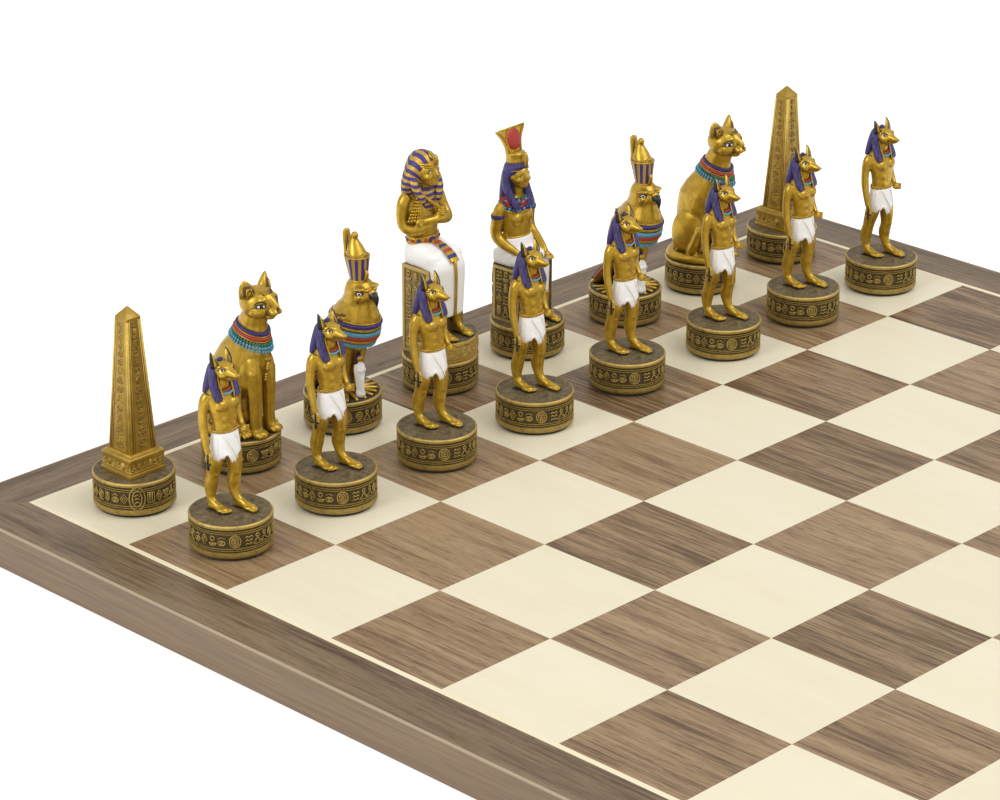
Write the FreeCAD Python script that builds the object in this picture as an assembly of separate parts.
import FreeCAD, Part
import math
import os

# Chess set: a veneered board with one army of sixteen cast resin men standing on it.
# Millimetres. The origin is the middle of the board's underside, +Z is up, and +Y is the
# way the army faces. Every man is cast in one piece with its round base and has a felt
# disc glued under it. The board is a fibreboard core with veneers on all its faces.

# Board
squares_per_side = 8
square_size = 45.0
inlay_width = 2.0
border_strip_width = 18.2
edge_band_thickness = 0.8
edge_band_arris = 0.3
core_thickness = 11.8
top_veneer_thickness = 0.6
backing_thickness = 0.6

# Round base under every man
base_radius = 13.0
base_height = 11.7
base_foot_round = 0.9
base_rim_round = 0.4
base_line_depth = 0.35
base_line_width = 0.5
base_foot_height = 3.0
base_frieze_height = 4.2
base_lip_height = 1.3
felt_thickness = 0.8
felt_margin = 1.2

# Obelisk
obelisk_plinth_half = 7.25
obelisk_plinth_height = 1.5
obelisk_die_height = 3.4
obelisk_cornice_height = 1.0
obelisk_step_height = 0.8
obelisk_step_inset = 0.3
obelisk_shaft_foot_half = 5.3
obelisk_shaft_top_half = 2.75
obelisk_shaft_height = 43.8
obelisk_panel_border = 1.2
obelisk_panel_depth = 0.35
obelisk_cap_height = 3.5
obelisk_cap_overhang = 0.25
obelisk_cap_tip_half = 0.2

# Jackal-headed guard
guard_sole_height = 0.7
guard_foot_length = 9.6
guard_foot_half_width = 1.8
guard_leg_spread = 3.1
guard_stride = 3.6
guard_back_heel = -6.0
guard_leg_length = 19.4
guard_hem_height = 18.2
guard_thigh_radius = 2.7
guard_knee_radius = 2.15
guard_ankle_radius = 1.45
guard_kilt_length = 7.8
guard_kilt_half_width = 5.2
guard_kilt_half_depth = 3.7
guard_waist_half_width = 4.3
guard_waist_half_depth = 3.0
guard_belt_height = 1.4
guard_torso_length = 12.2
guard_chest_half_width = 5.5
guard_chest_half_depth = 3.5
guard_shoulder_half_width = 6.0
guard_body_setback = 1.6
guard_arm_radius = 1.75
guard_wrist_radius = 1.15
guard_fist_radius = 1.7
guard_head_height = 7.3
guard_skull_radius = 3.2
guard_snout_length = 7.2
guard_ear_length = 6.2
guard_wig_half_width = 5.2
guard_wig_half_depth = 3.9
guard_lappet_drop = 8.6

# Seated cat
cat_body_height = 36.4
cat_body_half_width = 7.1
cat_haunch_half_width = 3.0
cat_haunch_height = 17.5
cat_haunch_half_depth = 6.4
cat_back_reach = 9.8
cat_chest_reach = 12.2
cat_leg_height = 22.0
cat_leg_radius = 2.3
cat_leg_spread = 3.4
cat_paw_half_width = 2.4
cat_paw_reach = 12.4
cat_neck_half_width = 4.2
cat_neck_height = 4.6
cat_collar_height = 4.6
cat_collar_proud = 0.5
cat_collar_tilt = 17.0
cat_head_half_width = 6.1
cat_head_half_depth = 6.2
cat_head_height = 10.8
cat_head_forward = 8.4
cat_muzzle_reach = 8.3
cat_muzzle_radius = 2.2
cat_ear_height = 8.6
cat_ear_spread = 5.0
cat_ear_radius = 2.8
cat_tail_radius = 1.7
cat_tail_sweep = 150.0

# Falcon
falcon_leg_height = 16.8
falcon_leg_radius = 2.3
falcon_leg_spread = 2.7
falcon_body_half_width = 7.6
falcon_body_half_depth = 9.6
falcon_body_height = 17.0
falcon_lean = 6.5
falcon_head_half_width = 5.1
falcon_head_half_depth = 5.8
falcon_head_height = 7.3
falcon_beak_length = 3.4
falcon_tail_half_width = 6.0
falcon_tail_thickness = 3.4
falcon_tail_reach = 11.4
falcon_crown_foot_radius = 3.1
falcon_crown_rim_radius = 4.25
falcon_crown_height = 8.2
falcon_bulb_radius = 3.9
falcon_bulb_height = 7.8
falcon_crown_recline = 3.4
falcon_talon_length = 6.4
falcon_talon_radius = 0.75
falcon_talon_count = 6
falcon_idol_height = 14.6
falcon_idol_radius = 1.9

# Throne pair
king_throne_half_width = 8.2
king_throne_front = 2.8
king_throne_back = 10.0
king_throne_height = 31.3
king_ledge_height = 7.3
king_ledge_inset = 0.2
queen_throne_half_width = 8.8
queen_throne_front = 3.4
queen_throne_height = 19.8
queen_throne_inset = 0.9
throne_panel_border = 1.6
throne_panel_depth = 0.3

# Seated figures
king_lap_half_width = 7.7
king_knee_reach = 7.2
queen_lap_half_width = 7.2
queen_knee_reach = 6.4
lap_height = 7.2
shin_depth = 6.0
hem_half_width = 5.6
king_hem_clearance = 6.8
queen_hem_clearance = 5.6
seated_foot_length = 6.4
seated_foot_half_width = 2.0
seated_foot_height = 2.0
seated_leg_spread = 3.6
seated_ankle_radius = 1.9
king_setback = 8.4
queen_setback = 5.2
seated_waist_half_width = 6.0
seated_waist_half_depth = 4.2
seated_chest_half_width = 7.2
seated_torso_length = 15.6
seated_shoulder_half_width = 7.6
seated_arm_radius = 2.1
seated_wrist_radius = 1.4
seated_fist_radius = 1.8
seated_neck_radius = 2.7
seated_head_half_width = 4.1
seated_head_half_depth = 4.5
seated_head_height = 10.6
king_cloth_half_width = 8.4
king_cloth_half_depth = 5.6
king_cloth_height = 15.0
king_cobra_height = 3.6
king_staff_radius = 0.7
king_staff_length = 15.0
queen_wig_half_width = 5.5
queen_wig_half_depth = 5.2
queen_wig_drop = 9.4
queen_modius_radius = 3.4
queen_modius_height = 3.2
queen_plate_half_foot = 3.2
queen_plate_half_top = 6.8
queen_plate_height = 9.6
queen_plate_thickness = 2.0
queen_disc_radius = 3.4
queen_disc_thickness = 1.4

# How each man was set down: file from the left of the army, rank, distance off the middle
# of its square to the right and forward, and how far it is turned to the right in degrees
first_rank, second_rank = 0, 1
stands = {
    "rook_a1": ("obelisk", 0, first_rank, -0.2, -1.2, 0.0),
    "knight_b1": ("cat", 1, first_rank, 0.5, -1.4, -12.0),
    "bishop_c1": ("falcon", 2, first_rank, -1.5, 0.6, 0.0),
    "queen_d1": ("queen", 3, first_rank, 0.2, -2.7, -2.0),
    "king_e1": ("king", 4, first_rank, -1.1, -1.6, 0.0),
    "bishop_f1": ("falcon", 5, first_rank, 0.2, -0.6, 8.0),
    "knight_g1": ("cat", 6, first_rank, 0.0, -0.6, -11.0),
    "rook_h1": ("obelisk", 7, first_rank, 0.0, 0.0, 0.0),
    "pawn_a2": ("guard", 0, second_rank, -0.6, 0.6, 3.0),
    "pawn_b2": ("guard", 1, second_rank, -1.2, 0.6, 0.0),
    "pawn_c2": ("guard", 2, second_rank, -2.3, 1.1, 0.0),
    "pawn_d2": ("guard", 3, second_rank, -0.7, -1.7, 0.0),
    "pawn_e2": ("guard", 4, second_rank, 0.4, -1.0, 0.0),
    "pawn_f2": ("guard", 5, second_rank, -0.4, -2.2, -2.0),
    "pawn_g2": ("guard", 6, second_rank, 0.2, -0.9, -2.0),
    "pawn_h2": ("guard", 7, second_rank, -0.5, -0.2, 0.0),
}

# Places worked out from the sizes above
grid_half = squares_per_side * square_size / 2
inlay_inner = grid_half - inlay_width / 2
inlay_outer = grid_half + inlay_width / 2
border_outer = inlay_outer + border_strip_width
board_half = border_outer + edge_band_thickness
core_top = backing_thickness + core_thickness
board_top = core_top + top_veneer_thickness


def point(x, y, z):
    return FreeCAD.Vector(x, y, z)


def block(x_low, x_high, y_low, y_high, z_low, z_high):
    """A box between two corners."""
    return Part.makeBox(x_high - x_low, y_high - y_low, z_high - z_low, point(x_low, y_low, z_low))


def prism(outline, z_low, z_high):
    """A flat outline of (x, y) corners raised from one height to another."""
    corners = [point(x, y, z_low) for x, y in outline]
    face = Part.Face(Part.makePolygon(corners + corners[:1]))
    return face.extrude(point(0, 0, z_high - z_low))


def turned(shape, quarter_turns):
    """A copy of a shape turned about the board's upright middle line."""
    copy = shape.copy()
    copy.rotate(point(0, 0, 0), point(0, 0, 1), 90 * quarter_turns)
    return copy


def limb(start, end, start_radius, end_radius):
    """A round tapering limb with domed ends, from one joint to the next."""
    along = end - start
    length = along.Length
    lean = math.asin((start_radius - end_radius) / length)
    side, rise = math.cos(lean), math.sin(lean)
    foot = point(0, 0, -start_radius)
    foot_middle = point(start_radius * math.cos((lean - math.pi / 2) / 2), 0,
                        start_radius * math.sin((lean - math.pi / 2) / 2))
    foot_end = point(start_radius * side, 0, start_radius * rise)
    head_start = point(end_radius * side, 0, length + end_radius * rise)
    head_middle = point(end_radius * math.cos((lean + math.pi / 2) / 2), 0,
                        length + end_radius * math.sin((lean + math.pi / 2) / 2))
    head = point(0, 0, length + end_radius)
    edges = [Part.Arc(foot, foot_middle, foot_end).toShape(),
             Part.makeLine(foot_end, head_start),
             Part.Arc(head_start, head_middle, head).toShape(),
             Part.makeLine(head, foot)]
    solid = Part.Face(Part.Wire(edges)).revolve(point(0, 0, 0), point(0, 0, 1), 360)
    solid.Placement = FreeCAD.Placement(start, FreeCAD.Rotation(point(0, 0, 1), along))
    return solid


def chain(joints, radii):
    """Limbs in a row through the joints, each a little slimmer where it leaves the last."""
    nested = 0.96
    return [limb(joints[i], joints[i + 1], radii[i] * (nested if i else 1.0), radii[i + 1])
            for i in range(len(joints) - 1)]


def ring(x, y, z, half_x, half_y, squareness=2.0, tilt=0.0):
    """A closed smooth section: an oval, or squarer as the power grows, its back raised by the tilt."""
    count = 16
    corners = []
    for step in range(count):
        angle = 2 * math.pi * step / count
        c, s = math.cos(angle), math.sin(angle)
        corners.append(point(x + half_x * math.copysign(abs(c) ** (2 / squareness), c),
                             y + half_y * math.copysign(abs(s) ** (2 / squareness), s), z))
    curve = Part.BSplineCurve()
    curve.interpolate(corners, PeriodicFlag=True)
    wire = Part.Wire(curve.toShape())
    wire.rotate(point(x, y, z), point(1, 0, 0), -tilt)
    return wire


def stack(*sections):
    """A body lofted through sections of (x, y, z, half width, half depth[, squareness[, tilt]])."""
    return Part.makeLoft([ring(*section) for section in sections], True, True)


def bench(*sections):
    """A body lofted forward through sections of (y, low z, high z, half width)."""
    wires = []
    for y, low, high, half_width in sections:
        wire = ring(0, (low + high) / 2, 0, half_width, (high - low) / 2, 3.2)
        wire.rotate(point(0, 0, 0), point(1, 0, 0), 90)
        wire.translate(point(0, y, 0))
        wires.append(wire)
    return Part.makeLoft(wires, True, True)


def egg(x, y, z, half_x, half_y, half_z):
    """An oval ball."""
    scale = FreeCAD.Matrix()
    scale.scale(half_x, half_y, half_z)
    ball = Part.makeSphere(1.0).transformGeometry(scale)
    ball.translate(point(x, y, z))
    return ball


def square_taper(half_low, half_high, z_low, z_high):
    """A square shaft whose half width changes from one height to another."""
    def outline(half, z):
        corners = [point(-half, -half, z), point(half, -half, z), point(half, half, z), point(-half, half, z)]
        return Part.makePolygon(corners + corners[:1])
    return Part.makeLoft([outline(half_low, z_low), outline(half_high, z_high)], True, True)


def cast(pieces):
    """One casting: all of a figure's forms joined into a single solid."""
    joined = pieces[0].fuse(pieces[1:])
    solids = joined.Solids
    return solids[0] if len(solids) == 1 else joined


def round_base():
    """The drum under a man: rounded foot, lines above and below the frieze, worn rim."""
    low = felt_thickness
    line = base_line_width
    inner = base_radius - base_line_depth
    frieze_low = low + base_foot_height + 2 * line
    frieze_high = frieze_low + base_frieze_height
    rim_low = base_height - base_lip_height
    outline = [
        (0, low),
        (base_radius - base_foot_round, low),
        (base_radius, low + base_foot_round),
        (base_radius, low + base_foot_height),
        (inner, low + base_foot_height),
        (inner, frieze_low - line),
        (base_radius, frieze_low - line),
        (base_radius, frieze_low),
        (inner, frieze_low),
        (inner, frieze_high),
        (base_radius, frieze_high),
        (base_radius, frieze_high + line),
        (inner, frieze_high + line),
        (inner, rim_low),
        (base_radius, rim_low),
        (base_radius, base_height - base_rim_round),
        (base_radius - base_rim_round, base_height),
        (0, base_height),
    ]
    corners = [point(r, 0, z) for r, z in outline]
    face = Part.Face(Part.makePolygon(corners + corners[:1]))
    return face.revolve(point(0, 0, 0), point(0, 0, 1), 360)


def obelisk():
    """A square needle on a stepped plinth, with a sunk panel down each face."""
    plinth_top = base_height + obelisk_plinth_height
    die_top = plinth_top + obelisk_die_height
    cornice_top = die_top + obelisk_cornice_height
    step_top = cornice_top + obelisk_step_height
    shaft_top = step_top + obelisk_shaft_height
    half = obelisk_plinth_half
    die_half = half - obelisk_step_inset
    step_half = half - 2 * obelisk_step_inset
    shaft = square_taper(obelisk_shaft_foot_half, obelisk_shaft_top_half, step_top, shaft_top)
    border = obelisk_panel_border
    depth = obelisk_panel_depth
    panel_low, panel_high = step_top + border, shaft_top - border
    for quarter in range(4):
        wires = []
        for z in (panel_low, panel_high):
            share = (z - step_top) / obelisk_shaft_height
            face = obelisk_shaft_foot_half + (obelisk_shaft_top_half - obelisk_shaft_foot_half) * share
            reach = face - border
            corners = [point(-reach, face - depth, z), point(reach, face - depth, z),
                       point(reach, face + border, z), point(-reach, face + border, z)]
            wires.append(Part.makePolygon(corners + corners[:1]))
        shaft = shaft.cut(turned(Part.makeLoft(wires, True, True), quarter))
    cap_half = obelisk_shaft_top_half + obelisk_cap_overhang
    return [
        block(-half, half, -half, half, base_height, plinth_top),
        block(-die_half, die_half, -die_half, die_half, plinth_top, die_top),
        block(-half, half, -half, half, die_top, cornice_top),
        block(-step_half, step_half, -step_half, step_half, cornice_top, step_top),
        shaft,
        square_taper(cap_half, obelisk_cap_tip_half, shaft_top, shaft_top + obelisk_cap_height),
    ]


def bare_foot(x, heel, length, half_width, z, height, sole):
    """A flat foot on its thin sole, heel at the back and toes at the front."""
    toe = heel + length
    middle = (heel + toe) / 2
    return [
        stack((x, middle, z, half_width, length / 2, 2.6), (x, middle, z + sole, half_width, length / 2, 2.6)),
        stack((x, middle, z + sole / 2, half_width * 0.92, length * 0.47, 2.4),
              (x, middle - length * 0.08, z + sole + height * 0.5, half_width * 0.8, length * 0.37),
              (x, middle - length * 0.2, z + sole + height, half_width * 0.6, length * 0.18)),
    ]


def guard():
    """A striding guard: jackal head, long wig, bare chest, short kilt, fists at the sides."""
    back = -guard_body_setback
    hip = base_height + guard_leg_length
    hem = base_height + guard_hem_height
    waist = hem + guard_kilt_length
    shoulder = waist + guard_torso_length
    head = shoulder + guard_head_height
    ankle = base_height + guard_sole_height + guard_ankle_radius + 1.2
    knee = (ankle + hip) / 2
    forms = []
    for x, heel in ((guard_leg_spread, guard_back_heel), (-guard_leg_spread, guard_back_heel + guard_stride)):
        forms += bare_foot(x, heel, guard_foot_length, guard_foot_half_width, base_height, 2.2,
                           guard_sole_height)
        ankle_y = heel + guard_ankle_radius
        forms += chain([point(x, ankle_y, ankle), point(x, (ankle_y + back) / 2, knee),
                        point(x * 0.85, back, hip)],
                       [guard_ankle_radius, guard_knee_radius, guard_thigh_radius])
    width, depth = guard_waist_half_width, guard_waist_half_depth
    forms.append(stack((0, back + 0.3, hem, guard_kilt_half_width, guard_kilt_half_depth),
                       (0, back, waist, width, depth)))
    forms.append(stack((0, back, waist - guard_belt_height / 2, width + 0.4, depth + 0.4),
                       (0, back, waist + guard_belt_height / 2, width + 0.4, depth + 0.4)))
    chest = waist + guard_torso_length * 0.66
    forms.append(stack((0, back, waist - 0.4, width * 0.96, depth * 0.96),
                       (0, back + 0.2, chest, guard_chest_half_width, guard_chest_half_depth),
                       (0, back - 0.2, shoulder, guard_shoulder_half_width, guard_chest_half_depth * 0.8),
                       (0, back - 0.3, shoulder + 2.2, guard_shoulder_half_width * 0.5,
                        guard_chest_half_depth * 0.6)))
    reach = guard_shoulder_half_width
    elbow = shoulder - guard_torso_length * 0.76
    shoulder_y = back - 0.8
    arm_radii = [guard_arm_radius, guard_wrist_radius * 1.25, guard_wrist_radius]
    forms += chain([point(reach, shoulder_y, shoulder - 0.4), point(reach + 0.9, shoulder_y - 0.6, elbow),
                    point(reach + 1.2, shoulder_y + 1.4, elbow - 8.4)], arm_radii)
    forms.append(limb(point(reach + 1.3, shoulder_y + 1.2, elbow - 9.6),
                      point(reach + 1.3, shoulder_y + 2.2, elbow - 10.8),
                      guard_fist_radius, guard_fist_radius * 0.85))
    forms += chain([point(-reach, shoulder_y, shoulder - 0.4), point(-reach - 0.9, shoulder_y - 1.0, elbow),
                    point(-reach + 0.4, shoulder_y + 2.0, elbow - 3.0)], arm_radii)
    forms.append(limb(point(-reach + 0.5, shoulder_y + 2.4, elbow - 3.2),
                      point(-reach + 0.8, shoulder_y + 3.2, elbow - 3.4),
                      guard_fist_radius, guard_fist_radius * 0.85))
    forms.append(limb(point(0, back, shoulder), point(0, back, head - 1.0), 2.4, 2.5))
    skull = guard_skull_radius
    forms.append(egg(0, back, head, skull * 0.95, skull * 1.05, skull))
    forms.append(limb(point(0, back + skull * 0.3, head - 0.7),
                      point(0, back + guard_snout_length - 1.0, head - 1.2), skull * 0.72, 1.0))
    wig_width, wig_depth = guard_wig_half_width, guard_wig_half_depth
    forms.append(stack((0, back - 2.6, shoulder - 2.4, wig_width * 0.9, wig_depth * 0.6),
                       (0, back - 2.2, shoulder + 2.0, wig_width, wig_depth * 0.95),
                       (0, back - 1.9, head - 0.8, wig_width * 0.82, wig_depth),
                       (0, back - 1.4, head + 2.6, wig_width * 0.55, wig_depth * 0.72),
                       (0, back - 1.0, head + 3.9, wig_width * 0.25, wig_depth * 0.35)))
    for side in (1, -1):
        forms.append(limb(point(side * 2.3, back - 1.4, head + 2.0),
                          point(side * 2.7, back - 2.2, head + guard_ear_length - 0.4), 1.25, 0.35))
        forms.append(stack((side * 3.3, back + 2.6, head - guard_lappet_drop, 1.5, 0.9, 3.0),
                           (side * 3.6, back + 1.8, head - guard_lappet_drop * 0.55, 1.7, 1.4, 3.0),
                           (side * 3.2, back, head - 0.5, 1.6, 1.6, 3.0)))
    return forms


def cat():
    """A seated cat, tail round its right side, with a broad collar and tall ears."""
    floor = base_height
    body, width = cat_body_height, cat_body_half_width
    neck = floor + body
    head = neck + cat_neck_height + cat_head_height * 0.35
    back, chest = -cat_back_reach, cat_chest_reach
    neck_width = cat_neck_half_width
    forms = [stack((0, -3.2, floor - 0.3, width * 0.92, 5.8),
                   (0, -3.2, floor + body * 0.26, width, -back - 3.2),
                   (0, -0.2, floor + body * 0.52, width, -back - 0.2),
                   (0, (chest + back + 1.2) / 2, floor + body * 0.72, width * 0.97, (chest - back - 1.2) / 2),
                   (0, 3.8, floor + body * 0.88, width * 0.88, 8.5),
                   (0, 5.4, neck, neck_width * 1.15, 6.4),
                   (0, 6.2, neck + cat_neck_height * 0.6, neck_width, 5.0),
                   (0, 7.2, head, neck_width * 0.9, 4.2))]
    collar, proud, tilt = cat_collar_height, cat_collar_proud, cat_collar_tilt
    forms.append(stack((0, 5.0, neck - collar * 0.75, width * 0.88 + proud, 7.2 + proud, 2.0, tilt),
                       (0, 5.5, neck - collar * 0.2, width * 0.7 + proud, 6.2 + proud, 2.0, tilt),
                       (0, 5.9, neck + collar * 0.3, neck_width + proud, 5.1 + proud, 2.0, tilt)))
    leg_y = 5.4
    for side in (1, -1):
        x = side * cat_leg_spread
        forms.append(limb(point(x, leg_y, floor + 1.2), point(x * 0.97, leg_y + 1.0, floor + cat_leg_height),
                          cat_leg_radius, cat_leg_radius * 1.35))
        paw_y, paw_half = (leg_y + cat_paw_reach) / 2, (cat_paw_reach - leg_y) / 2
        forms.append(stack((x, paw_y - 0.6, floor - 0.2, cat_paw_half_width, paw_half + 0.6, 2.6),
                           (x, paw_y - 1.0, floor + 1.8, cat_paw_half_width * 0.9, paw_half, 2.4),
                           (x, leg_y + 0.6, floor + 3.4, cat_paw_half_width * 0.5, 1.8)))
        forms.append(egg(side * (width - 1.0), -2.6, floor + cat_haunch_height * 0.5,
                         cat_haunch_half_width, cat_haunch_half_depth, cat_haunch_height * 0.53))
        ear_x, ear = side * cat_ear_spread, cat_ear_radius
        forms.append(stack((ear_x * 0.86, cat_head_forward - 0.8, head + 1.6, ear * 0.95, ear * 0.8),
                           (ear_x, cat_head_forward - 0.8, head + cat_ear_height * 0.5, ear * 0.8, ear * 0.5),
                           (ear_x * 1.1, cat_head_forward - 0.6, head + cat_ear_height, 0.5, 0.4)))
    forms.append(egg(0, cat_head_forward, head, cat_head_half_width, cat_head_half_depth,
                     cat_head_height / 2))
    muzzle = cat_muzzle_radius
    forms.append(limb(point(0, cat_head_forward + 2.4, head - 1.4),
                      point(0, cat_head_forward + cat_muzzle_reach - muzzle, head - 2.0), muzzle * 1.6, muzzle))
    tail = cat_tail_radius
    sweep_radius = base_radius - tail - 0.3
    joints = []
    steps = 6
    for step in range(steps + 1):
        angle = math.radians(-100 + cat_tail_sweep * step / steps)
        joints.append(point(sweep_radius * math.cos(angle), sweep_radius * math.sin(angle),
                            floor + tail - 0.3))
    forms += chain(joints, [tail] * steps + [tail * 0.8])
    return forms


def falcon():
    """A standing falcon in a tall double crown, long tail to the ground, idol at its feet."""
    floor = base_height
    low = floor + falcon_leg_height
    rise = falcon_body_height
    top = low + rise
    lean = falcon_lean
    width, depth = falcon_body_half_width, falcon_body_half_depth
    head_width, head_depth = falcon_head_half_width, falcon_head_half_depth
    crown_low = top + falcon_head_height
    crown_y = lean + 4.3
    forms = [stack((0, 2.2, floor - 0.3, falcon_leg_spread + 1.2, 3.2),
                   (0, 2.2, low - 4.0, falcon_leg_spread + 1.2, 3.6),
                   (0, lean - 3.0, low, width * 0.72, depth * 0.68),
                   (0, lean - 1.0, low + rise * 0.21, width * 0.92, depth * 0.94),
                   (0, lean, low + rise * 0.5, width, depth),
                   (0, lean + 0.4, low + rise * 0.72, width * 0.93, depth * 0.94),
                   (0, lean + 1.1, low + rise * 0.9, width * 0.76, depth * 0.76),
                   (0, lean + 2.3, top + 0.6, head_width, head_depth),
                   (0, lean + 3.1, top + falcon_head_height * 0.6, head_width, head_depth * 0.98),
                   (0, lean + 3.9, top + falcon_head_height * 0.88, head_width * 0.78, head_depth * 0.75),
                   (0, crown_y, crown_low + 0.6, falcon_crown_foot_radius * 0.8,
                    falcon_crown_foot_radius * 0.8))]
    for side in (1, -1):
        x = side * falcon_leg_spread
        forms.append(limb(point(x, 3.6, floor + 1.0), point(x, 3.2, low), falcon_leg_radius,
                          falcon_leg_radius * 1.3))
    beak_z = top + falcon_head_height * 0.44
    beak_y = lean + 3.0 + head_depth
    forms.append(limb(point(0, beak_y - 0.6, beak_z),
                      point(0, beak_y + falcon_beak_length * 0.6, beak_z - falcon_beak_length * 0.7), 1.8, 0.5))
    tail_half, tail = falcon_tail_half_width, falcon_tail_thickness
    shoulder_z = low + rise * 0.42
    wires = []
    for share, half, thick in ((0.0, width * 0.62, tail * 1.1), (0.4, width * 0.98, tail * 1.3),
                               (1.0, tail_half, tail * 0.9)):
        wire = ring(0, 0, 0, half, thick / 2, 2.6)
        wire.rotate(point(0, 0, 0), point(1, 0, 0), 20)
        wire.translate(point(0, -0.4 - (falcon_tail_reach - 2.0) * share,
                             shoulder_z + (floor + tail * 0.5 - shoulder_z) * share))
        wires.append(wire)
    forms.append(Part.makeLoft(wires, True, True))
    talon, claw = falcon_talon_length, falcon_talon_radius
    for index in range(falcon_talon_count):
        angle = math.radians(-32 + 64 * index / (falcon_talon_count - 1))
        inner, outer = base_radius - 1.1 - talon, base_radius - 1.1 - claw
        forms.append(limb(point(inner * math.sin(angle), inner * math.cos(angle), floor + 0.9),
                          point(outer * math.sin(angle), outer * math.cos(angle), floor + 0.35),
                          claw, claw * 0.8))
    idol, tall = falcon_idol_radius, falcon_idol_height
    idol_y = base_radius - talon + 1.4
    forms.append(stack((0, idol_y, floor - 0.2, idol * 0.75, idol * 0.8),
                       (0, idol_y, floor + tall * 0.62, idol * 1.25, idol),
                       (0, idol_y, floor + tall * 0.76, idol * 0.8, idol * 0.7)))
    forms.append(egg(0, idol_y, floor + tall - idol * 1.15, idol * 0.95, idol * 0.95, idol * 1.15))
    crown_top = crown_low + falcon_crown_height
    rim = falcon_crown_rim_radius
    forms.append(stack((0, crown_y, crown_low, falcon_crown_foot_radius, falcon_crown_foot_radius),
                       (0, crown_y - 0.4, crown_top, rim, rim)))
    bulb, tip, back = falcon_bulb_radius, falcon_bulb_height, falcon_crown_recline
    forms.append(stack((0, crown_y - 0.3, crown_top - 0.8, bulb, bulb),
                       (0, crown_y - back * 0.05, crown_top + tip * 0.28, bulb, bulb),
                       (0, crown_y - back * 0.35, crown_top + tip * 0.52, bulb * 0.72, bulb * 0.72),
                       (0, crown_y - back * 0.8, crown_top + tip * 0.78, bulb * 0.38, bulb * 0.38),
                       (0, crown_y - back * 1.1, crown_top + tip, bulb * 0.26, bulb * 0.26)))
    forms.append(stack((0, crown_y - rim, crown_top - 1.4, 2.6, 0.8, 2.6),
                       (0, crown_y - rim - back * 1.1, crown_top + tip * 0.86, 1.3, 0.7, 2.6)))
    return forms


def seated(floor, seat, hem, back, lap, knee, fore_arms, head_y):
    """The body that king and queen share: lap, shins, feet, torso, arms and bare head."""
    waist = seat + lap_height
    shoulder = waist + seated_torso_length
    forms = [bench((back - 2.6, seat - 0.3, waist, lap * 0.84),
                   (back + 3.6, seat - 0.3, waist, lap),
                   (knee - 5.0, seat - 1.2, seat + lap_height * 0.58, lap * 0.94),
                   (knee - 0.9, seat - 3.2, seat + lap_height * 0.26, lap * 0.66)),
             stack((0, knee - shin_depth / 2 - 0.9, hem, hem_half_width, shin_depth / 2, 2.2),
                   (0, knee - shin_depth / 2, seat + 0.6, lap * 0.86, shin_depth / 2, 2.3))]
    for side in (1, -1):
        x = side * seated_leg_spread
        ankle_y = knee - shin_depth / 2 - 0.4
        forms += bare_foot(x, ankle_y - seated_ankle_radius, seated_foot_length + seated_ankle_radius,
                           seated_foot_half_width, floor, seated_foot_height, 0.4)
        forms.append(limb(point(x, ankle_y, floor + 1.6), point(x, ankle_y, hem + 2.0),
                          seated_ankle_radius, seated_ankle_radius * 1.2))
    forms.append(stack((0, back, waist - 0.6, seated_waist_half_width, seated_waist_half_depth),
                       (0, back + 0.3, waist + seated_torso_length * 0.6, seated_chest_half_width, 4.7),
                       (0, back, shoulder - 0.6, seated_shoulder_half_width, 3.8),
                       (0, back + 0.4, shoulder + 1.6, seated_shoulder_half_width * 0.55, 2.8)))
    for side, elbow, wrist in fore_arms:
        forms += chain([point(side * seated_shoulder_half_width, back - 0.6, shoulder - 1.6), elbow, wrist],
                       [seated_arm_radius, seated_wrist_radius * 1.25, seated_wrist_radius])
        forms.append(limb(wrist, wrist + point(-side * 0.8, 1.0, 0.1), seated_fist_radius,
                          seated_fist_radius * 0.85))
    head = shoulder + seated_neck_radius + seated_head_height * 0.42
    forms.append(limb(point(0, back + 1.0, shoulder - 1.0), point(0, head_y - 0.8, head - 1.0),
                      seated_neck_radius, seated_neck_radius * 0.95))
    forms.append(egg(0, head_y, head, seated_head_half_width, seated_head_half_depth,
                     seated_head_height / 2))
    return forms, waist, shoulder, head


def throne(height, half, front, back, inset):
    """A block seat cut to the round of the base, with a sunk panel on each flat side."""
    low, high = base_height, base_height + height
    radius = base_radius - inset
    solid = Part.makeCylinder(radius, height, point(0, 0, low)).common(
        block(-half, half, -back, front, low, high))
    border = throne_panel_border
    panel_back = -min(back, math.sqrt(radius ** 2 - half ** 2))
    for side in (1, -1):
        near, far = sorted((side * half, side * (half - throne_panel_depth)))
        solid = solid.cut(block(near, far, panel_back + border, front - border, low + 2 * border,
                                high - border))
    return solid


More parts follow.
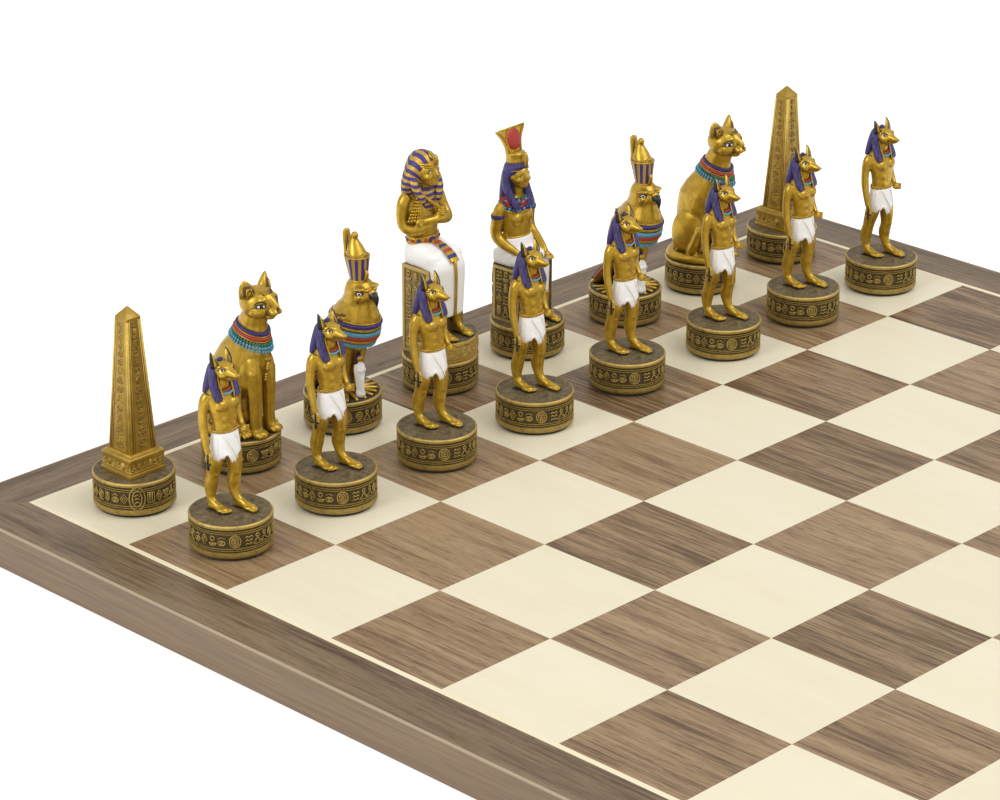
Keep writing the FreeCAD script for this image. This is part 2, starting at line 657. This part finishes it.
def king():
    """A king on a tall block throne, arms crossed over crook and flail, striped headcloth."""
    ledge = base_height + king_ledge_height
    seat = base_height + king_throne_height
    waist = seat + lap_height
    back = -king_setback
    head_y = back + 3.4
    arms = [(1, point(8.3, back + 0.2, waist + 3.6), point(-2.6, back + 5.6, waist + 8.8)),
            (-1, point(-8.3, back + 1.2, waist + 4.4), point(3.8, back + 4.6, waist + 6.2))]
    forms, waist, shoulder, head = seated(ledge, seat, ledge + king_hem_clearance, back, king_lap_half_width,
                                          king_knee_reach, arms, head_y)
    ledge_drum = Part.makeCylinder(base_radius - king_ledge_inset, king_ledge_height,
                                   point(0, 0, base_height))
    front = block(-base_radius, base_radius, king_throne_front - 1.0, base_radius, base_height, ledge)
    seat_block = throne(king_throne_height, king_throne_half_width, king_throne_front, king_throne_back, 0.0)
    forms = [seat_block, ledge_drum.common(front)] + forms
    low, cloth = shoulder + 0.6, king_cloth_height
    width, depth = king_cloth_half_width, king_cloth_half_depth
    forms.append(stack((0, head_y - 3.0, low, width, depth * 0.8),
                       (0, head_y - 2.6, low + cloth * 0.25, width, depth),
                       (0, head_y - 2.0, low + cloth * 0.55, width * 0.84, depth * 1.02),
                       (0, head_y - 2.0, low + cloth * 0.83, width * 0.58, depth * 0.84),
                       (0, head_y - 2.6, low + cloth, width * 0.22, depth * 0.36)))
    for side in (1, -1):
        forms.append(stack((side * 3.6, head_y - 0.2, low - 5.6, 1.5, 0.9, 3.0),
                           (side * 4.4, head_y - 0.6, low + 2.2, 2.2, 1.6, 3.0)))
    forms.append(limb(point(0, head_y + depth * 0.38, head + 2.6),
                      point(0, head_y + depth * 0.6, head + 2.6 + king_cobra_height), 0.9, 0.7))
    staff = king_staff_length
    forms.append(limb(point(-3.6, back + 6.2, waist + 7.8),
                      point(-3.6 + staff * 0.58, back + 4.6, waist + 7.8 + staff * 0.55),
                      king_staff_radius, king_staff_radius * 0.95))
    forms.append(limb(point(4.4, back + 5.4, waist + 5.8),
                      point(6.2, back + 3.4, waist + 5.8 + staff * 0.62),
                      king_staff_radius * 1.5, king_staff_radius))
    return forms


def queen():
    """A queen on a low rounded throne, hands on her knees, tall crown with disc."""
    seat = base_height + queen_throne_height
    waist = seat + lap_height
    back = -queen_setback
    head_y = back + 2.0
    arms = [(1, point(8.7, back - 2.8, waist + 3.4), point(5.6, back + 6.4, waist - 2.6)),
            (-1, point(-8.7, back - 2.0, waist + 2.6), point(-5.2, back + 8.8, waist - 4.0))]
    forms, waist, shoulder, head = seated(base_height, seat, base_height + queen_hem_clearance, back,
                                          queen_lap_half_width, queen_knee_reach, arms, head_y)
    seat_block = throne(queen_throne_height, queen_throne_half_width, queen_throne_front, base_radius,
                        queen_throne_inset)
    forms = [seat_block] + forms
    width, depth = queen_wig_half_width, queen_wig_half_depth
    crown_low = head + seated_head_height * 0.38
    forms.append(stack((0, head_y - 2.6, shoulder - 1.0, width * 1.05, depth * 0.6),
                       (0, head_y - 2.0, head - 1.2, width, depth * 0.9),
                       (0, head_y - 1.6, head + 2.4, width * 0.85, depth * 0.85),
                       (0, head_y - 1.8, crown_low + 0.8, width * 0.55, depth * 0.6)))
    for side in (1, -1):
        forms.append(stack((side * 2.9, head_y + 1.6, head - queen_wig_drop, 1.5, 1.0, 3.0),
                           (side * 3.4, head_y + 0.6, head - 2.0, 1.7, 1.6, 3.0)))
    modius_top = crown_low + queen_modius_height
    crown_y = head_y - 1.8
    forms.append(Part.makeCylinder(queen_modius_radius, queen_modius_height + 0.6,
                                   point(0, crown_y, crown_low - 0.6)))
    foot, top, height = queen_plate_half_foot, queen_plate_half_top, queen_plate_height
    corners = [point(-foot, 0, 0), point(foot, 0, 0), point(foot * 1.25, 0, height * 0.4),
               point(top, 0, height), point(-top, 0, height), point(-foot * 1.25, 0, height * 0.4)]
    plate = Part.Face(Part.makePolygon(corners + corners[:1])).extrude(point(0, queen_plate_thickness, 0))
    disc = Part.makeCylinder(queen_disc_radius, queen_disc_thickness,
                             point(0, queen_plate_thickness - 0.4, height * 0.52), point(0, 1, 0))
    for piece in (plate, disc):
        piece.rotate(point(0, 0, 0), point(1, 0, 0), 14)
        piece.translate(point(0, crown_y - queen_plate_thickness / 2, modius_top - 0.4))
        forms.append(piece)
    return forms


def board():
    """Every piece of the board by name."""
    pieces = {"board_core": block(-border_outer, border_outer, -border_outer, border_outer,
                                  backing_thickness, core_top),
              "backing_veneer": block(-border_outer, border_outer, -border_outer, border_outer,
                                      0, backing_thickness)}
    tiles = {"walnut_squares": [], "maple_squares": []}
    for file in range(squares_per_side):
        for rank in range(squares_per_side):
            def line(index):
                place = -grid_half + index * square_size
                return max(-inlay_inner, min(inlay_inner, place))
            name = "walnut_squares" if (file + rank) % 2 == 0 else "maple_squares"
            tiles[name].append(block(line(file), line(file + 1), line(rank), line(rank + 1),
                                     core_top, board_top))
    for name, solids in tiles.items():
        pieces[name] = Part.makeCompound(solids)
    arris = edge_band_arris
    for quarter, side in enumerate(("rear", "right", "front", "left")):
        def mitred(inner, outer, low, high):
            outline = [(-inner, -inner), (-outer, -outer), (outer, -outer), (inner, -inner)]
            return turned(prism(outline, low, high), quarter)
        pieces["inlay_" + side] = mitred(inlay_inner, inlay_outer, core_top, board_top)
        pieces["border_" + side] = mitred(inlay_outer, border_outer, core_top, board_top)
        band = mitred(border_outer, board_half, 0, board_top)
        bevel = Part.makePolygon([point(0, -board_half, board_top - arris), point(0, -board_half, board_top),
                                  point(0, -board_half + arris, board_top),
                                  point(0, -board_half, board_top - arris)])
        bevel = Part.Face(bevel).extrude(point(2 * board_half, 0, 0))
        bevel.translate(point(-board_half, 0, 0))
        pieces["edge_band_" + side] = band.cut(turned(bevel, quarter))
    return pieces


def place(shape, file, rank, off_right, off_forward, turn):
    """Stands a man on its square. The army's left is -X."""
    moved = shape.copy()
    moved.rotate(point(0, 0, 0), point(0, 0, 1), -turn)
    moved.translate(point(-grid_half + (file + 0.5) * square_size + off_right,
                          -grid_half + (rank + 0.5) * square_size + off_forward, board_top))
    return moved


def main():
    os.makedirs("parts", exist_ok=True)
    pieces = board()
    designs = {"obelisk": obelisk, "guard": guard, "cat": cat, "falcon": falcon, "king": king, "queen": queen}
    castings = {name: cast([round_base()] + design()) for name, design in designs.items()}
    felt = Part.makeCylinder(base_radius - felt_margin, felt_thickness)
    for man, (design, *stand) in stands.items():
        pieces[man] = place(castings[design], *stand)
        pieces["felt_" + man] = place(felt, *stand)
    for name, shape in pieces.items():
        shape.exportStep("parts/" + name + ".step")
    return pieces


main()
